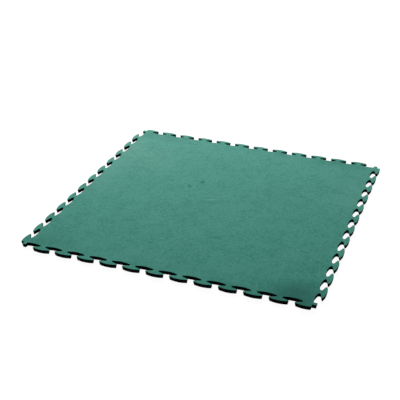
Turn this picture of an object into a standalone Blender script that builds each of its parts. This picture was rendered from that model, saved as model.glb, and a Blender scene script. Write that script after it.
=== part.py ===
# Interlocking garage floor tile: a flat square moulding with hooked tabs and slots along all four sides.
# Metres, +Z up. The tile lies on its underside, with the origin at the middle of the underside.
# Every side is the first one turned by 90 degrees, so any side hooks into any side of another tile.

import math

import bmesh
import bpy

# The square that one tile takes up in a laid floor, from joint line to joint line
LAID_SIDE = 0.500
THICKNESS = 0.0070

# Slots and tabs follow each other along a side, and a slot is a tab turned over
TABS_PER_SIDE = 12
TAB_PITCH = 0.0405
# From the bottom of a slot to the tip of a tab, half of it on each side of the joint line
TAB_DEPTH = 0.0144
# The round end of a hook: its radius, and its centre's distance from the neck's edge and from the joint line
HOOK_RADIUS = 0.0019
HOOK_REACH = 0.0035
HOOK_HEIGHT = 0.0031
# The straight stretch on the joint line at each end of a side, where a corner block stands
CORNER_LENGTH = 0.0066
# How far each wall stands back from the joint, so that two laid tiles have twice this between them
CLEARANCE = 0.0001

# The walls stand upright below the top and then lean in, which lets the tabs press home
UPRIGHT_HEIGHT = 0.0020
UNDERSIDE_INSET = 0.0012

# Straight pieces in the arc of a hook, and in the long arc of a tip
HOOK_STEPS = 5
TIP_STEPS = 4

TOP_COLOUR = (0.075, 0.235, 0.170, 1.0)
BODY_COLOUR = (0.006, 0.006, 0.006, 1.0)
TOP_ROUGHNESS = 0.75
BODY_ROUGHNESS = 0.60


def arc(centre, radius, start, end, steps):
    """Points along an arc with both ends, from one angle in radians to another."""
    points = []
    for step in range(steps + 1):
        angle = start + (end - start) * step / steps
        points.append((centre[0] + radius * math.cos(angle), centre[1] + radius * math.sin(angle)))
    return points


def half_tab(grow, first, steps):
    """The right half of a tab whose middle is at 0 and whose joint line is at height 0.

    It starts on the tip's arc at the distance first from the middle, and ends under the hook, where the
    straight wall to the next slot begins. grow moves the wall outwards everywhere by that much.
    """
    hook_across = TAB_PITCH / 4 + HOOK_REACH
    rise = TAB_DEPTH / 2 - HOOK_HEIGHT
    # The tip's arc touches the tip line in the middle and both hook circles at its ends
    tip_radius = (hook_across**2 + rise**2 - HOOK_RADIUS**2) / (2 * (rise - HOOK_RADIUS))
    tip_centre = TAB_DEPTH / 2 - tip_radius
    meeting = math.atan2(HOOK_HEIGHT - tip_centre, hook_across)
    # The straight wall leaves the circle so that it passes through the crossing on the joint line
    crossing = math.atan2(HOOK_HEIGHT, HOOK_REACH)
    leaving = crossing - math.asin(HOOK_RADIUS / math.hypot(HOOK_REACH, HOOK_HEIGHT)) - math.pi / 2

    start = math.acos(first / (tip_radius + grow))
    tip = arc((0.0, tip_centre), tip_radius + grow, start, meeting, steps)
    hook = arc((hook_across, HOOK_HEIGHT), HOOK_RADIUS + grow, meeting, leaving, HOOK_STEPS)
    return tip + hook[1:]


def mirrored(points):
    return [(-along, out) for along, out in reversed(points)]


def turned_over(points):
    return [(along, -out) for along, out in points]


def moved(points, distance):
    return [(along + distance, out) for along, out in points]


def side_outline(grow):
    """One side from corner to corner, as distances along the joint line and outwards from it."""
    half = half_tab(grow, 0.0, TIP_STEPS // 2)
    tab = mirrored(half)[:-1] + half
    half = turned_over(half_tab(-grow, 0.0, TIP_STEPS // 2))
    slot = mirrored(half)[:-1] + half

    first_slot = (LAID_SIDE - (TABS_PER_SIDE - 0.5) * TAB_PITCH) / 2
    last_tab = LAID_SIDE - first_slot
    block_end = CORNER_LENGTH + grow
    tab_end = LAID_SIDE - CORNER_LENGTH + grow

    # The first slot and the last tab have one hook each, because the corner blocks cut them short
    cut_slot = turned_over(half_tab(-grow, block_end - first_slot, TIP_STEPS))
    cut_tab = mirrored(half_tab(grow, last_tab - tab_end, TIP_STEPS))

    points = [(-grow, grow), (block_end, grow)]
    points += moved(cut_slot, first_slot)
    for number in range(1, TABS_PER_SIDE):
        points += moved(tab, first_slot + (number - 0.5) * TAB_PITCH)
        points += moved(slot, first_slot + number * TAB_PITCH)
    points += moved(cut_tab, last_tab)
    points.append((tab_end, grow))
    return points


def tile_outline(grow):
    """The whole outline seen from above, counter-clockwise from the front left corner."""
    points = [(along - LAID_SIDE / 2, -LAID_SIDE / 2 - out) for along, out in side_outline(grow)]
    outline = []
    for _ in range(4):
        outline += points
        points = [(-y, x) for x, y in points]
    return outline


def plain_material(name, colour, roughness):
    material = bpy.data.materials.new(name)
    material.diffuse_color = colour
    material.use_nodes = True
    shader = material.node_tree.nodes["Principled BSDF"]
    shader.inputs["Base Color"].default_value = colour
    shader.inputs["Roughness"].default_value = roughness
    shader.inputs["Metallic"].default_value = 0.0
    return material


def ring(bm, outline, height):
    return [bm.verts.new((x, y, height)) for x, y in outline]


def floor_tile():
    bm = bmesh.new()
    at_wall = tile_outline(-CLEARANCE)
    underside = ring(bm, tile_outline(-CLEARANCE - UNDERSIDE_INSET), 0.0)
    shoulder = ring(bm, at_wall, THICKNESS - UPRIGHT_HEIGHT)
    rim = ring(bm, at_wall, THICKNESS)

    top = bm.faces.new(rim)
    bm.faces.new(reversed(underside))
    for lower, upper in ((underside, shoulder), (shoulder, rim)):
        for here in range(len(lower)):
            after = (here + 1) % len(lower)
            bm.faces.new((lower[here], lower[after], upper[after], upper[here]))
    for face in bm.faces:
        face.material_index = 0 if face == top else 1

    mesh = bpy.data.meshes.new("floor_tile")
    bm.to_mesh(mesh)
    bm.free()
    mesh.materials.append(plain_material("tile_top_green", TOP_COLOUR, TOP_ROUGHNESS))
    mesh.materials.append(plain_material("tile_body_black", BODY_COLOUR, BODY_ROUGHNESS))
    tile = bpy.data.objects.new("floor_tile", mesh)
    bpy.context.scene.collection.objects.link(tile)
    return tile


for old in list(bpy.data.objects):
    bpy.data.objects.remove(old)

floor_tile()
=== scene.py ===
# Interlocking garage floor tile, green on top and black round its walls, lying flat on a white studio floor
# Metres, +Z up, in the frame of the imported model

import math

import bpy
from mathutils import Matrix, Vector


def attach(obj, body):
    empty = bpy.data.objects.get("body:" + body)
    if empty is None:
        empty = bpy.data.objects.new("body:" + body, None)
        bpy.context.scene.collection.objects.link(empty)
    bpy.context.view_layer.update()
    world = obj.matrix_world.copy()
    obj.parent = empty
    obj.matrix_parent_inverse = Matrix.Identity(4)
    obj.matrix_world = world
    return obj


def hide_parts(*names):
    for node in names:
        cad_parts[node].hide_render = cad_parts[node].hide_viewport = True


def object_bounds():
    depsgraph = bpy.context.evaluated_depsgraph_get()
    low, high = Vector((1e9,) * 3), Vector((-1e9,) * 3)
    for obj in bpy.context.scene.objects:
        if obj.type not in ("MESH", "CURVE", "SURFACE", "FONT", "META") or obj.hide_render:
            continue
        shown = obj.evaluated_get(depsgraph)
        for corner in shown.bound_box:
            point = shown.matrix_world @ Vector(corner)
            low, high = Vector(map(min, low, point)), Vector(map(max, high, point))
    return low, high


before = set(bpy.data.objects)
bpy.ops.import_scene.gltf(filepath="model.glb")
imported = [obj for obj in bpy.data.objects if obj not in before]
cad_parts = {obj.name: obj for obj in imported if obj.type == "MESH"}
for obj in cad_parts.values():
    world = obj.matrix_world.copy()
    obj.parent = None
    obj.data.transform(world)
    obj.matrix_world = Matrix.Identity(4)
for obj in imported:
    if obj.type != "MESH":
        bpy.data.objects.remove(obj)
cadLow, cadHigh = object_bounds()
mm = 0.001
print("frame loaded")


# Camera

camera = {
    "lens": 77.20,
    "sensorWidth": 36,
    "azimuth": 20.49,                # degrees round to the right of the front
    "elevation": 28.30,              # degrees above the floor
    "roll": 0.13,                    # degrees, with the camera's right side up
    "distance": 1.5607,
    "aim": (-27.4 * mm, -2.6 * mm),  # where the middle of the picture meets the tile's top
}


def lookBackFrom(direction):
    # The turn of a camera or light that stands in this direction from what it faces
    return (-direction).to_track_quat("-Z", "Y").to_matrix().to_4x4()


def setUpCamera():
    azimuth = math.radians(camera["azimuth"])
    elevation = math.radians(camera["elevation"])
    back = Vector((
        math.sin(azimuth) * math.cos(elevation),
        -math.cos(azimuth) * math.cos(elevation),
        math.sin(elevation),
    ))
    aim = Vector((*camera["aim"], cadHigh.z))
    data = bpy.data.cameras.new("studioCamera")
    data.lens = camera["lens"]
    data.sensor_width = camera["sensorWidth"]
    eye = bpy.data.objects.new("studioCamera", data)
    bpy.context.scene.collection.objects.link(eye)
    roll = Matrix.Rotation(math.radians(camera["roll"]), 4, "Z")
    eye.matrix_world = Matrix.Translation(aim + back * camera["distance"]) @ lookBackFrom(back) @ roll
    bpy.context.scene.camera = eye


setUpCamera()
print("camera set")


# Helpers for modelling in edit mode

tiny = 0.01 * mm                     # points closer than this are one point


def startPlane(name, size):
    if bpy.context.mode != "OBJECT":
        bpy.ops.object.mode_set(mode="OBJECT")
    bpy.ops.object.select_all(action="DESELECT")
    bpy.ops.mesh.primitive_plane_add(size=size, location=(0, 0, 0))
    piece = bpy.context.object
    piece.name = name
    piece.data.name = name
    bpy.ops.object.mode_set(mode="EDIT")
    bpy.ops.mesh.select_mode(type="VERT")
    bpy.ops.mesh.select_all(action="SELECT")
    return piece


def selectPoints(piece, wanted):
    bpy.ops.mesh.select_all(action="DESELECT")
    bpy.ops.object.mode_set(mode="OBJECT")
    for point in piece.data.vertices:
        point.select = wanted(point.co)
    bpy.ops.object.mode_set(mode="EDIT")


def selectPointAt(piece, place):
    selectPoints(piece, lambda point: (point - place).length < tiny)


def drawArc(centre, angle, steps):
    # Spin turns clockwise, so the angle is turned round to count the other way
    bpy.ops.mesh.spin(steps=steps, angle=-angle, center=centre, axis=(0, 0, 1))


def drawLine(piece, place):
    piece.update_from_editmode()
    here = next(point.co.copy() for point in piece.data.vertices if point.select)
    bpy.ops.mesh.extrude_region_move(TRANSFORM_OT_translate={"value": place - here})


def mergeAll():
    bpy.ops.mesh.select_all(action="SELECT")
    bpy.ops.mesh.remove_doubles(threshold=tiny)


# The tile

tile = {
    "thickness": cadHigh.z,
    "tabs": 12,                      # on each side, with as many slots
    "tabPitch": 40.5 * mm,
    "tabDepth": 14.4 * mm,           # from the bottom of a slot to the tip of a tab
    "hookRadius": 1.9 * mm,
    "hookReach": 3.5 * mm,           # from the edge of a tab's neck to the hook's middle
    "hookHeight": 3.1 * mm,          # from the joint line to the hook's middle
    "cornerLength": 6.6 * mm,        # the straight stretch of joint line beside each corner
    "clearance": 0.1 * mm,           # how far each wall stands back from the joint
    "rimRadius": 0.4 * mm,           # the worn round edge of the green top
    "greenDepth": 0.18 * mm,         # how far down the rim the green reaches
    "uprightHeight": 2.0 * mm,       # below this the walls lean in
    "undersideInset": 1.2 * mm,
    "underEdge": 0.2 * mm,           # the small bevel round the underside
    "tipSteps": 7,
    "hookSteps": 12,
    "rimSteps": 4,
    "smoothAngle": 35,               # degrees, and a sharper edge stays sharp
}


def addWorkedOutSizes():
    # From joint line to joint line, and from a corner to the middle of the first slot
    tile["side"] = cadHigh.x - cadLow.x - tile["tabDepth"] + 2 * tile["clearance"]
    tile["firstSlot"] = (tile["side"] - (tile["tabs"] - 0.5) * tile["tabPitch"]) / 2
    # The tip's arc touches the tip line at the tab's middle, and a hook circle at each of its ends
    tile["hookAcross"] = tile["tabPitch"] / 4 + tile["hookReach"]
    rise = tile["tabDepth"] / 2 - tile["hookHeight"]
    radius = tile["hookRadius"]
    tile["tipRadius"] = (tile["hookAcross"]**2 + rise**2 - radius**2) / (2 * (rise - radius))
    tile["tipCentre"] = tile["tabDepth"] / 2 - tile["tipRadius"]


addWorkedOutSizes()


def onFront(along, out):
    # A place by its distance along the front side from the left corner, and outwards from the joint line
    return Vector((along - tile["side"] / 2, -tile["side"] / 2 - out, 0))


def drawTab(piece, along):
    # One tab with half a slot on each side of it, from the middle of one slot to the middle of the next
    middle = onFront(along, 0)
    crossing = onFront(along + tile["tabPitch"] / 4, 0)
    tipAngle = math.atan2(tile["hookAcross"], tile["hookHeight"] - tile["tipCentre"])
    # The hook ends where the straight wall through the crossing touches its circle
    toCrossing = math.atan2(tile["hookHeight"], tile["hookReach"])
    slant = math.asin(tile["hookRadius"] / math.hypot(tile["hookReach"], tile["hookHeight"]))
    hookAngle = math.pi - tipAngle - toCrossing + slant

    drawArc(onFront(along, tile["tipCentre"]), tipAngle, tile["tipSteps"])
    drawArc(onFront(along + tile["hookAcross"], tile["hookHeight"]), hookAngle, tile["hookSteps"])
    drawLine(piece, crossing)
    # A slot is a tab turned round, so the same line goes on past the crossing as half a slot
    bpy.ops.mesh.select_all(action="SELECT")
    bpy.ops.mesh.duplicate()
    bpy.ops.transform.rotate(value=math.pi, orient_axis="Z", center_override=crossing)
    mergeAll()
    # Mirrored in the tab's middle, both together are the tab between its two half slots
    bpy.ops.mesh.duplicate()
    bpy.ops.transform.mirror(constraint_axis=(True, False, False), center_override=middle)
    mergeAll()


def repeatTab(piece):
    bpy.ops.object.mode_set(mode="OBJECT")
    row = piece.modifiers.new("row", "ARRAY")
    row.count = tile["tabs"]
    row.use_relative_offset = False
    row.use_constant_offset = True
    row.constant_offset_displace = (tile["tabPitch"], 0, 0)
    row.use_merge_vertices = True
    row.merge_threshold = tiny
    bpy.ops.object.modifier_apply(modifier=row.name)
    bpy.ops.object.mode_set(mode="EDIT")


def drawSideEnds(piece):
    # The corner blocks cut the first slot and the last tab short
    lastTab = tile["side"] - tile["firstSlot"]
    slotBottom = onFront(tile["firstSlot"], -tile["tabDepth"] / 2)
    tabTip = onFront(lastTab, tile["tabDepth"] / 2)
    selectPoints(piece, lambda point: point.x > tabTip.x + tiny)
    bpy.ops.mesh.delete(type="VERT")

    cutAngle = math.asin((tile["firstSlot"] - tile["cornerLength"]) / tile["tipRadius"])
    selectPointAt(piece, slotBottom)
    drawArc(onFront(tile["firstSlot"], -tile["tipCentre"]), cutAngle, tile["tipSteps"])
    drawLine(piece, onFront(tile["cornerLength"], 0))
    drawLine(piece, onFront(0, 0))
    selectPointAt(piece, tabTip)
    drawArc(onFront(lastTab, tile["tipCentre"]), cutAngle, tile["tipSteps"])
    drawLine(piece, onFront(tile["side"] - tile["cornerLength"], 0))
    drawLine(piece, onFront(tile["side"], 0))


def fillOutline(piece):
    # The other three sides are this one turned by right angles
    bpy.ops.mesh.select_all(action="SELECT")
    bpy.ops.mesh.spin(steps=3, dupli=True, angle=math.radians(270), center=(0, 0, 0), axis=(0, 0, 1))
    mergeAll()
    bpy.ops.mesh.edge_face_add()
    piece.update_from_editmode()
    if piece.data.polygons[0].normal.z < 0:
        bpy.ops.mesh.flip_normals()
    # Pulled in by the clearance, without the strip that this leaves outside
    bpy.ops.mesh.inset(thickness=tile["clearance"], depth=0)
    bpy.ops.mesh.select_all(action="INVERT")
    bpy.ops.mesh.delete(type="VERT")
    bpy.ops.mesh.select_all(action="SELECT")
    bpy.ops.transform.translate(value=(0, 0, tile["thickness"] - tile["rimRadius"]))


def roundRim():
    # Insets the face upwards and inwards round a quarter circle
    radius = tile["rimRadius"]
    quarter = math.pi / 2
    for step in range(tile["rimSteps"]):
        start = quarter * step / tile["rimSteps"]
        end = quarter * (step + 1) / tile["rimSteps"]
        across = radius * (math.cos(start) - math.cos(end))
        up = radius * (math.sin(end) - math.sin(start))
        bpy.ops.mesh.inset(thickness=across, depth=up)
    # A flat strip inside the rim keeps the smooth shading off the rest of the top
    bpy.ops.mesh.inset(thickness=radius, depth=0)


def makeWalls(piece):
    # The open edge below the rim is drawn down as the upright walls, and closed
    bpy.ops.mesh.select_all(action="DESELECT")
    bpy.ops.mesh.select_non_manifold()
    upright = tile["uprightHeight"] - tile["rimRadius"]
    bpy.ops.mesh.extrude_edges_move(TRANSFORM_OT_translate={"value": (0, 0, -upright)})
    bpy.ops.mesh.edge_face_add()
    bpy.ops.mesh.select_all(action="SELECT")
    bpy.ops.mesh.normals_make_consistent(inside=False)
    # The face that closes them is inset downwards, which makes the leaning walls and the underside
    shoulder = tile["thickness"] - tile["uprightHeight"]
    selectPoints(piece, lambda point: abs(point.z - shoulder) < tiny)
    edge = tile["underEdge"]
    bpy.ops.mesh.inset(thickness=tile["undersideInset"] - edge, depth=shoulder - edge)
    bpy.ops.mesh.inset(thickness=edge, depth=edge)


def makeTile():
    # The drawing starts from a single point, the tip of the first whole tab
    piece = startPlane("tileMoulding", tile["tabPitch"])
    firstTab = tile["firstSlot"] + tile["tabPitch"] / 2
    bpy.ops.mesh.merge(type="CENTER")
    bpy.ops.transform.translate(value=onFront(firstTab, tile["tabDepth"] / 2))
    drawTab(piece, firstTab)
    repeatTab(piece)
    drawSideEnds(piece)
    fillOutline(piece)
    roundRim()
    makeWalls(piece)
    bpy.ops.object.mode_set(mode="OBJECT")
    return piece


tileMoulding = makeTile()
print("tile modelled:", len(tileMoulding.data.polygons), "faces")


# Helpers for materials

def newMaterial(name, colour, roughness):
    material = bpy.data.materials.new(name)
    material.use_nodes = True
    material.diffuse_color = (*colour, 1)
    shader = material.node_tree.nodes["Principled BSDF"]
    shader.inputs["Base Color"].default_value = (*colour, 1)
    shader.inputs["Roughness"].default_value = roughness
    return material, material.node_tree, shader


def addNode(tree, kind, inputs, **settings):
    # An input is given a plain value, or another node's output to be linked to
    node = tree.nodes.new("ShaderNode" + kind)
    for name, value in settings.items():
        setattr(node, name, value)
    for name, value in inputs.items():
        if isinstance(value, bpy.types.NodeSocket):
            tree.links.new(value, node.inputs[name])
        else:
            node.inputs[name].default_value = value
    return node


def stretchTo(tree, value, span, values):
    # Turns this span of a value into these values, and goes no further at either end
    inputs = {
        "Value": value,
        "From Min": span[0],
        "From Max": span[1],
        "To Min": values[0],
        "To Max": values[1],
    }
    return addNode(tree, "MapRange", inputs).outputs["Result"]


def addNoise(tree, coords, noise):
    # Cloudy noise with blots of this size. The higher its crumble, the stronger the fine ones among them.
    inputs = {
        "Vector": coords,
        "Scale": 1 / noise["size"],
        "Detail": noise["detail"],
        "Roughness": noise["crumble"],
    }
    cloud = addNode(tree, "TexNoise", inputs).outputs["Fac"]
    if "values" in noise:
        cloud = stretchTo(tree, cloud, noise["span"], noise["values"])
    return cloud


def mixColours(tree, amount, first, second):
    mix = tree.nodes.new("ShaderNodeMix")
    mix.data_type = "RGBA"
    for name, value in (("Factor_Float", amount), ("A_Color", first), ("B_Color", second)):
        socket = next(one for one in mix.inputs if one.identifier == name)
        if isinstance(value, bpy.types.NodeSocket):
            tree.links.new(value, socket)
        else:
            socket.default_value = (*value, 1)
    return next(one for one in mix.outputs if one.identifier == "Result_Color")


def addBump(tree, coords, bump, **under):
    height = addNoise(tree, coords, bump)
    inputs = {"Height": height, "Distance": bump["depth"], "Strength": 1, **under}
    return addNode(tree, "Bump", inputs).outputs["Normal"]


# Green top

greenTop = {
    "paleGreen": (0.071, 0.311, 0.238),
    "deepGreen": (0.031, 0.219, 0.166),
    "blueGreen": (0.050, 0.257, 0.211),
    "specular": 0.0085,
    # From deep green to pale green, with the speckle added to the mottle
    "mottle": {"size": 32 * mm, "detail": 5, "crumble": 0.95, "span": (0.34, 0.66), "values": (0, 1)},
    "speckle": {
        "size": 2.8 * mm, "detail": 2, "crumble": 0.6,
        "span": (0.25, 0.75), "values": (-0.75, 0.75),
    },
    # How much blue green is over them
    "tint": {"size": 16 * mm, "detail": 2, "crumble": 0.6, "span": (0.4, 0.7), "values": (0, 0.6)},
    # Roughness
    "dullness": {
        "size": 9 * mm, "detail": 3, "crumble": 0.7,
        "span": (0.35, 0.65), "values": (0.48, 0.54),
    },
    # Soft unevenness left by the mould, and the grain
    "ripple": {"size": 6 * mm, "detail": 2, "crumble": 0.5, "depth": 0.04 * mm},
    "grain": {"size": 1.6 * mm, "detail": 2, "crumble": 0.5, "depth": 0.06 * mm},
    "frayWidth": 4 * mm,             # how coarse and how ragged the edges of the marks and of the painted light and shade are
}

# Marks, painted shade and painted light on the top: middle, half length and half width in mm, turn in
# degrees, strength
smudgesAndPaintedShade = {
    # Dark green of the smudges, also used as painted shade
    "colour": (0.026, 0.112, 0.094),
    "dullness": 0.40,                # how much rougher than the rest a full mark or full painted shade is
    "marks": [
        # The two small spots, and the patch below the scuff
        ((-47.6, 65.5), (7, 9), 20, 0.80),
        ((-65.0, 42.1), (6, 11), 20, 0.60),
        ((-2.0, -6.0), (16, 6), 15, 0.25),
        # Painted shade at the front right corner
        ((214.0, -229.0), (70, 54), 15, 0.66),
        ((238.0, -254.0), (36, 24), 0, 0.35),
        # Painted shade along faint stretches of the border
        ((-195.0, 235.0), (95, 40), 0, 0.20),
        ((175.0, 240.0), (100, 36), 0, 0.20),
        ((-215.0, -225.0), (80, 50), 10, 0.20),
        ((150.0, -255.0), (110, 30), 0, 0.25),
    ],
}
scuffAndPaintedLight = {
    # Pale green of the scuff, also used as painted light
    "colour": (0.150, 0.370, 0.310),
    "marks": [
        # The scuff at the middle
        ((-8.0, 6.0), (16, 4), 18, 0.65),
        # Painted light along faint stretches of the border
        ((-236.0, 90.0), (46, 170), 0, 0.22),
        ((-225.0, 215.0), (60, 50), 0, 0.10),
        ((228.0, 110.0), (50, 110), 0, 0.13),
        ((-50.0, -215.0), (50, 30), 0, 0.10),
    ],
}
# Painted sheen, thin and greyish, towards the left edge
paintedSheen = {
    "colour": (0.260, 0.350, 0.320),
    "marks": [
        ((-180.0, 125.0), (85, 110), 0, 0.09),
        ((-240.0, 160.0), (35, 70), 0, 0.09),
        ((-215.0, -10.0), (60, 60), 0, 0.04),
        ((-170.0, 240.0), (90, 40), 0, 0.05),
    ],
}


def frayCoords(tree, coords):
    # Shifts every place a little to and fro, which makes the edges of the marks and of the painted light
    # and shade ragged
    width = greenTop["frayWidth"]
    noise = addNode(tree, "TexNoise", {"Vector": coords, "Scale": 1 / width}).outputs["Color"]
    toAndFro = addNode(tree, "VectorMath", {0: noise, 1: (0.5, 0.5, 0.5)}, operation="SUBTRACT").outputs[0]
    shift = addNode(tree, "VectorMath", {0: toAndFro, "Scale": width}, operation="SCALE").outputs[0]
    return addNode(tree, "VectorMath", {0: coords, 1: shift}, operation="ADD").outputs[0]


def addOvals(tree, coords, marks):
    # Soft ovals of marks, painted shade or painted light, added up into one mask
    total = 0.0
    for middle, halves, turn, strength in marks:
        inputs = {
            "Vector": coords,
            "Location": (middle[0] * mm, middle[1] * mm, tile["thickness"]),
            "Rotation": (0, 0, math.radians(turn)),
            "Scale": (halves[0] * mm, halves[1] * mm, halves[0] * mm),
        }
        local = addNode(tree, "Mapping", inputs, vector_type="TEXTURE").outputs["Vector"]
        apart = addNode(tree, "VectorMath", {0: local}, operation="LENGTH").outputs["Value"]
        inputs = {"Value": apart, "From Min": 1, "From Max": 0, "To Min": 0, "To Max": strength}
        mark = addNode(tree, "MapRange", inputs, interpolation_type="SMOOTHSTEP").outputs["Result"]
        total = addNode(tree, "Math", {0: mark, 1: total}, operation="ADD").outputs[0]
    return total


def makeGreenTop():
    dullest = greenTop["dullness"]["values"][1]
    material, tree, shader = newMaterial("greenTop", greenTop["paleGreen"], dullest)
    coords = addNode(tree, "TexCoord", {}).outputs["Object"]
    mottle = addNoise(tree, coords, greenTop["mottle"])
    speckle = addNoise(tree, coords, greenTop["speckle"])
    shade = addNode(tree, "Math", {0: mottle, 1: speckle}, operation="ADD", use_clamp=True).outputs[0]
    colour = mixColours(tree, shade, greenTop["deepGreen"], greenTop["paleGreen"])
    colour = mixColours(tree, addNoise(tree, coords, greenTop["tint"]), colour, greenTop["blueGreen"])

    frayed = frayCoords(tree, coords)
    darkSmudgeAndShade = addOvals(tree, frayed, smudgesAndPaintedShade["marks"])
    colour = mixColours(tree, darkSmudgeAndShade, colour, smudgesAndPaintedShade["colour"])
    for scuffOrPaintedLight in (scuffAndPaintedLight, paintedSheen):
        colour = mixColours(tree, addOvals(tree, frayed, scuffOrPaintedLight["marks"]), colour, scuffOrPaintedLight["colour"])
    tree.links.new(colour, shader.inputs["Base Color"])

    # The dark smudges and the painted shade are duller too
    inputs = {0: darkSmudgeAndShade, 1: smudgesAndPaintedShade["dullness"], 2: addNoise(tree, coords, greenTop["dullness"])}
    roughness = addNode(tree, "Math", inputs, operation="MULTIPLY_ADD").outputs[0]
    tree.links.new(roughness, shader.inputs["Roughness"])
    shader.inputs["Specular IOR Level"].default_value = greenTop["specular"]

    ripple = addBump(tree, coords, greenTop["ripple"])
    tree.links.new(addBump(tree, coords, greenTop["grain"], Normal=ripple), shader.inputs["Normal"])
    return material


# Black walls and underside, moulded in one; the walls' black is darkened further as painted shade, and the
# underside keeps the plainer black of the PVC

blackWallsWithPaintedShade = {
    # Near zero: the black of the PVC, darkened further as painted shade
    "black": (0.0010, 0.0010, 0.0010),
    "worn": (0.0045, 0.0045, 0.0048),
    "roughness": (0.6, 0.8),         # where it is black, and where it is worn
    "specular": 0.0,
    "wear": {"size": 7 * mm, "detail": 4, "crumble": 0.65, "span": (0.4, 0.7), "values": (0, 1)},
    "grain": {"size": 0.8 * mm, "detail": 2, "crumble": 0.5, "depth": 0.04 * mm},
}
blackUnderside = {
    "black": (0.0060, 0.0060, 0.0060),
    "worn": (0.0200, 0.0200, 0.0210),
    "roughness": (0.55, 0.8),
    "specular": 0.1,
    "wear": {"size": 24 * mm, "detail": 4, "crumble": 0.65, "span": (0.4, 0.7), "values": (0, 1)},
    "grain": {"size": 1.2 * mm, "detail": 2, "crumble": 0.5, "depth": 0.08 * mm},
}


def makeBlack(name, black):
    material, tree, shader = newMaterial(name, black["black"], black["roughness"][0])
    coords = addNode(tree, "TexCoord", {}).outputs["Object"]
    wear = addNoise(tree, coords, black["wear"])
    colour = mixColours(tree, wear, black["black"], black["worn"])
    tree.links.new(colour, shader.inputs["Base Color"])
    roughness = stretchTo(tree, wear, black["wear"]["values"], black["roughness"])
    tree.links.new(roughness, shader.inputs["Roughness"])
    shader.inputs["Specular IOR Level"].default_value = black["specular"]
    tree.links.new(addBump(tree, coords, black["grain"]), shader.inputs["Normal"])
    return material


def dressTile(piece):
    piece.data.materials.clear()
    piece.data.materials.append(makeGreenTop())
    piece.data.materials.append(makeBlack("blackWallsWithPaintedShade", blackWallsWithPaintedShade))
    piece.data.materials.append(makeBlack("blackUnderside", blackUnderside))
    greenDown = tile["thickness"] - tile["greenDepth"]
    for face in piece.data.polygons:
        if face.center.z > greenDown:
            face.material_index = 0
        elif face.center.z > tiny:
            face.material_index = 1
        else:
            face.material_index = 2
    bpy.ops.object.select_all(action="DESELECT")
    piece.select_set(True)
    bpy.context.view_layer.objects.active = piece
    bpy.ops.object.shade_smooth_by_angle(angle=math.radians(tile["smoothAngle"]))


dressTile(tileMoulding)
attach(tileMoulding, "root")
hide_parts("floor_tile")
print("tile finished")


# Studio

studio = {
    "floorSize": 8.0,
    "floorDrop": 0.02 * mm,          # keeps the floor just clear of the underside
    "floorColour": (0.08, 0.08, 0.08),
    "floorRoughness": 0.9,
    "floorGlow": 0.94,
    "skyStrength": 0.3,
    "white": (1, 1, 1, 1),           # of the glow and the sky
}
# Where a light stands: turn counts from +X towards +Y, and height up from the floor, both in degrees
lights = {
    "backLight": {"turn": 100, "height": 18, "distance": 2.4, "size": 1.4, "power": 47},
    "leftLight": {"turn": 130, "height": 18, "distance": 2.4, "size": 1.4, "power": 44},
    "closeLight": {"turn": 140, "height": 45, "distance": 0.9, "size": 0.6, "power": 1.8},
}


def addLight(name, light):
    data = bpy.data.lights.new(name, "AREA")
    data.shape = "SQUARE"
    data.size = light["size"]
    data.energy = light["power"]
    lamp = bpy.data.objects.new(name, data)
    bpy.context.scene.collection.objects.link(lamp)
    turn = math.radians(light["turn"])
    height = math.radians(light["height"])
    towards = Vector((
        math.cos(turn) * math.cos(height),
        math.sin(turn) * math.cos(height),
        math.sin(height),
    ))
    lamp.matrix_world = Matrix.Translation(towards * light["distance"]) @ lookBackFrom(towards)


def layFloor():
    floor = startPlane("studioFloor", studio["floorSize"])
    bpy.ops.transform.translate(value=(0, 0, -studio["floorDrop"]))
    bpy.ops.object.mode_set(mode="OBJECT")
    material, tree, shader = newMaterial("whiteFloor", studio["floorColour"], studio["floorRoughness"])
    shader.inputs["Emission Color"].default_value = studio["white"]
    shader.inputs["Emission Strength"].default_value = studio["floorGlow"]
    floor.data.materials.append(material)
    return floor


def setUpSky():
    world = bpy.data.worlds.new("studioSky")
    world.use_nodes = True
    sky = world.node_tree.nodes["Background"]
    sky.inputs["Strength"].default_value = studio["skyStrength"]
    sky.inputs["Color"].default_value = studio["white"]
    bpy.context.scene.world = world


studioFloor = layFloor()
for name, light in lights.items():
    addLight(name, light)
setUpSky()
bpy.context.scene.view_settings.view_transform = "Standard"
print("studio set")
